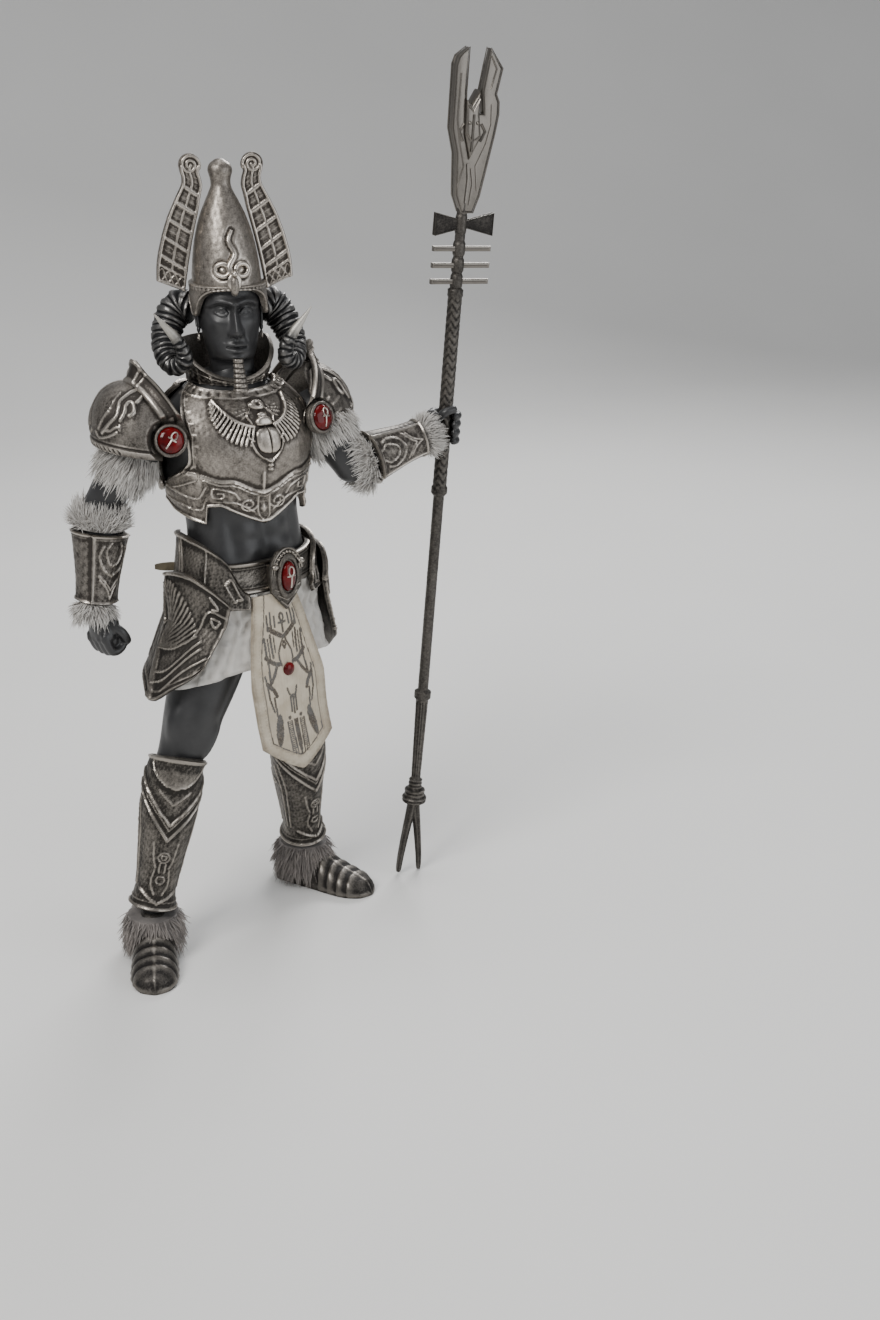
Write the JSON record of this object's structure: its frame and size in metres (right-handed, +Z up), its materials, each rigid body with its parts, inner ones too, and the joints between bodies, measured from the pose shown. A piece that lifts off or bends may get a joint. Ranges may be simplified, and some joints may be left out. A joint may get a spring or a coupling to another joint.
{
  "type": "armoured action figure",
  "caption": "Standing one-sixth scale action figure of an ancient Egyptian god in antique silver armour with a tall crown, plumes and ram's horns, holding a forked staff.",
  "frame": {"origin": "on the floor, under the middle of the figure and its staff", "axes": "+Z up, the face looks along -Y, +X is the figure's own left"},
  "size_m": [0.1902, 0.1, 0.377],
  "materials": {
    "bright_silver": "antique silver metallic paint, brighter and more worn",
    "silver": "antique silver metallic paint over dark, with a dark wash in the relief",
    "dark_iron": "gunmetal paint, worn silver at the edges",
    "dark_skin": "charcoal vinyl with a soft sheen",
    "red_gem": "clear red cast gem, high gloss",
    "white_fur": "grey-white faux fur",
    "grey_fur": "grey-brown faux fur",
    "cotton": "off-white gathered cotton",
    "faux_leather": "cream faux leather with printed marks"
  },
  "bodies": {
    "root": {"body": "dark_skin", "head": "dark_skin", "beard": "silver", "crown": "bright_silver", "breastplate": "bright_silver", "backplate": "bright_silver", "collar": "silver", "belt": "silver", "belt_strap": "faux_leather", "buckle": "silver", "buckle_gem": "red_gem", "skirt": "cotton", "front_panel": "faux_leather", "panel_bead": "red_gem", "staff": "dark_iron", "right_hand": "dark_skin", "left_hand": "dark_skin", "right_earring": "silver", "right_plume": "bright_silver", "right_horn": "dark_iron", "right_pauldron": "silver", "right_clasp": "silver", "right_gem": "red_gem", "right_arm_fur": "white_fur", "right_elbow_fur": "white_fur", "right_wrist_fur": "white_fur", "right_bracer": "silver", "right_upper_hip_plate": "silver", "right_lower_hip_plate": "silver", "right_greave": "silver", "right_ankle_fur": "grey_fur", "right_boot": "dark_iron", "left_earring": "silver", "left_plume": "bright_silver", "left_horn": "dark_iron", "left_pauldron": "silver", "left_clasp": "silver", "left_gem": "red_gem", "left_arm_fur": "white_fur", "left_elbow_fur": "white_fur", "left_wrist_fur": "white_fur", "left_bracer": "silver", "left_upper_hip_plate": "silver", "left_lower_hip_plate": "silver", "left_greave": "silver", "left_ankle_fur": "grey_fur", "left_boot": "dark_iron"}
  },
  "joints": []
}
